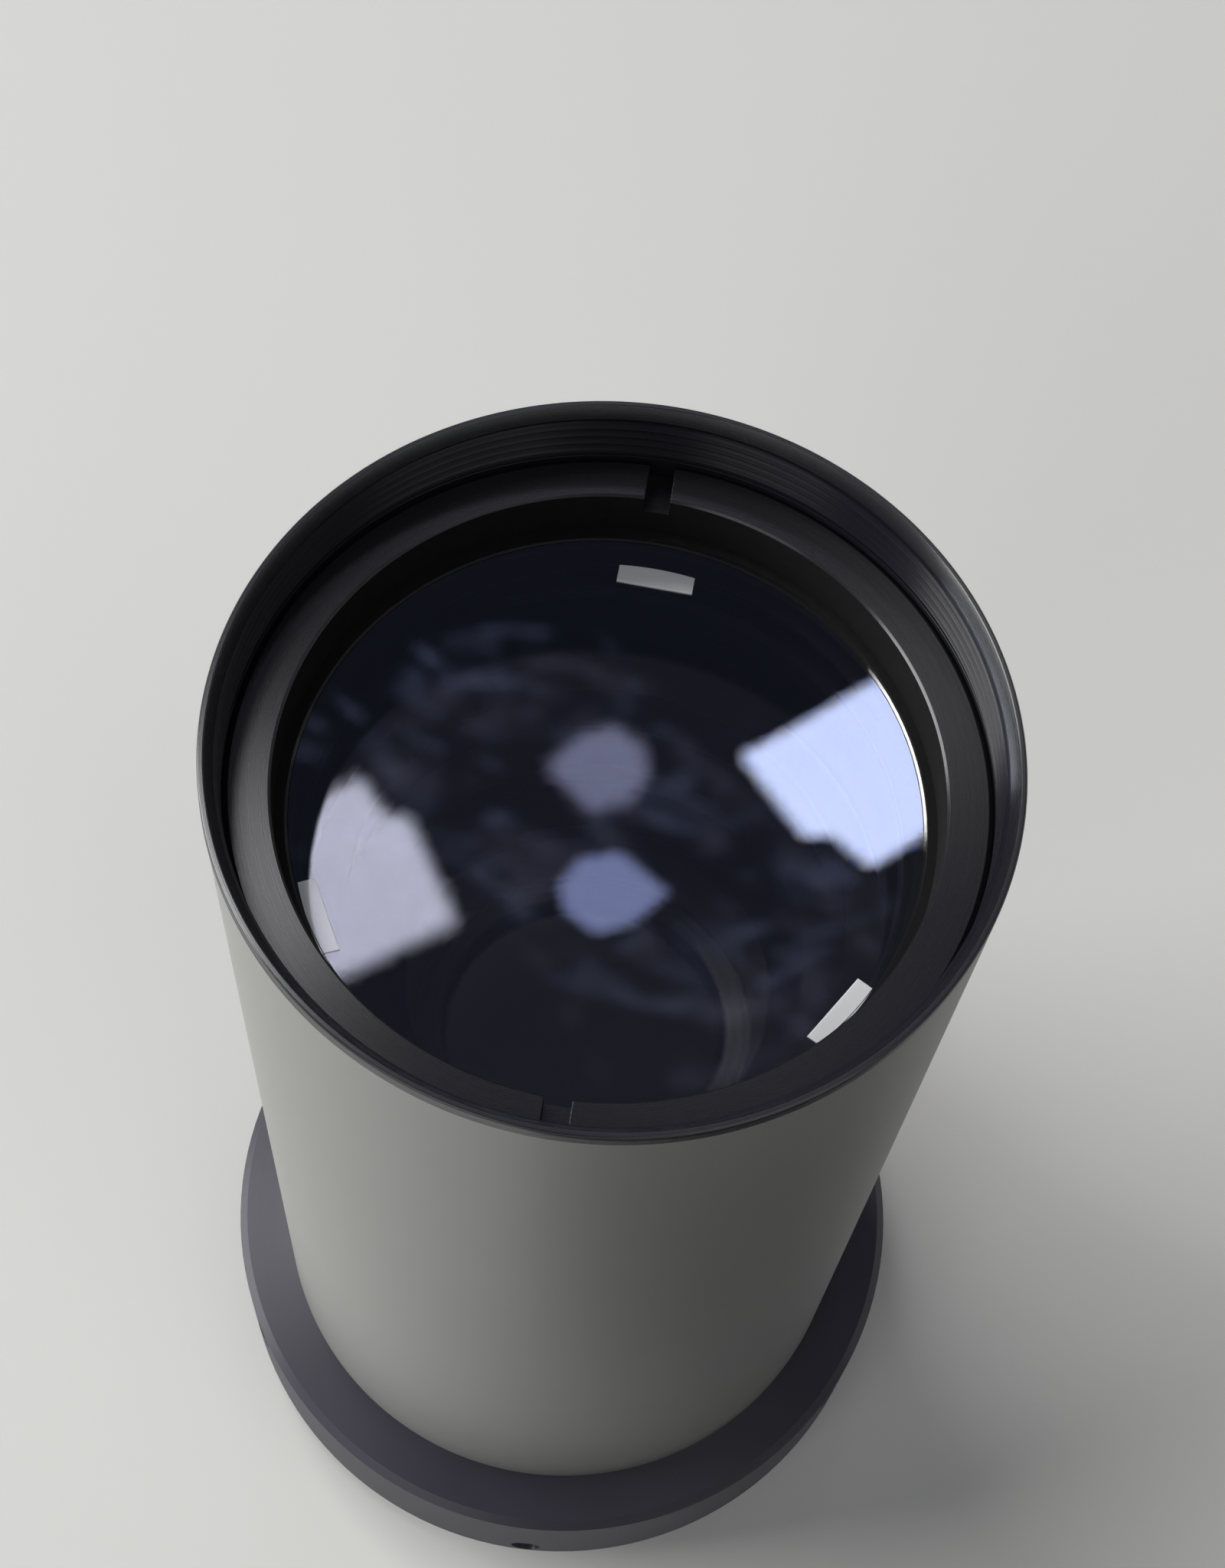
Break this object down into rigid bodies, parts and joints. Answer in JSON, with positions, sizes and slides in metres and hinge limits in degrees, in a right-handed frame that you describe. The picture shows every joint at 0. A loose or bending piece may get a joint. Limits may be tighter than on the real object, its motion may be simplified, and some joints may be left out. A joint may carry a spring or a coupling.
{
  "type": "barlow camera adapter",
  "caption": "Round camera adapter tube with a large coated doublet under a slotted retaining ring at the threaded front, and a wide flange with a camera thread at the rear.",
  "frame": {"origin": "centre of the camera thread's end face, the lowest point of the object", "axes": "+Z along the optical axis from the camera end to the front thread, +Y towards the spanner slot that is far from the picture's camera"},
  "size_m": [0.0706, 0.0706, 0.1253],
  "materials": {
    "grey_paint": "satin greenish-grey paint outside, black anodised rim and bore",
    "black_anodised": "fine-turned black anodising",
    "violet_black_anodised": "black anodising faded to violet",
    "black_matt": "flat black paint",
    "black_plastic": "matt",
    "crown_glass": "polished, violet-blue coated, ground edge",
    "flint_glass": "polished, coated, ground edge",
    "foil": "plain matt foil",
    "screw_steel": "black oxide"
  },
  "bodies": {
    "root": {"main_tube": "grey_paint", "retaining_ring": "black_anodised", "lens_cushion": "black_plastic", "crown_lens": "crown_glass", "flint_lens": "flint_glass", "foil_spacer_far": "foil", "foil_spacer_left": "foil", "foil_spacer_right": "foil", "lens_cell": "black_anodised", "front_baffle": "black_matt", "middle_baffle": "black_matt", "rear_baffle": "black_matt", "rear_flange": "violet_black_anodised", "tube_screws": "screw_steel", "camera_ring": "black_anodised", "ring_screws": "screw_steel"}
  },
  "joints": []
}
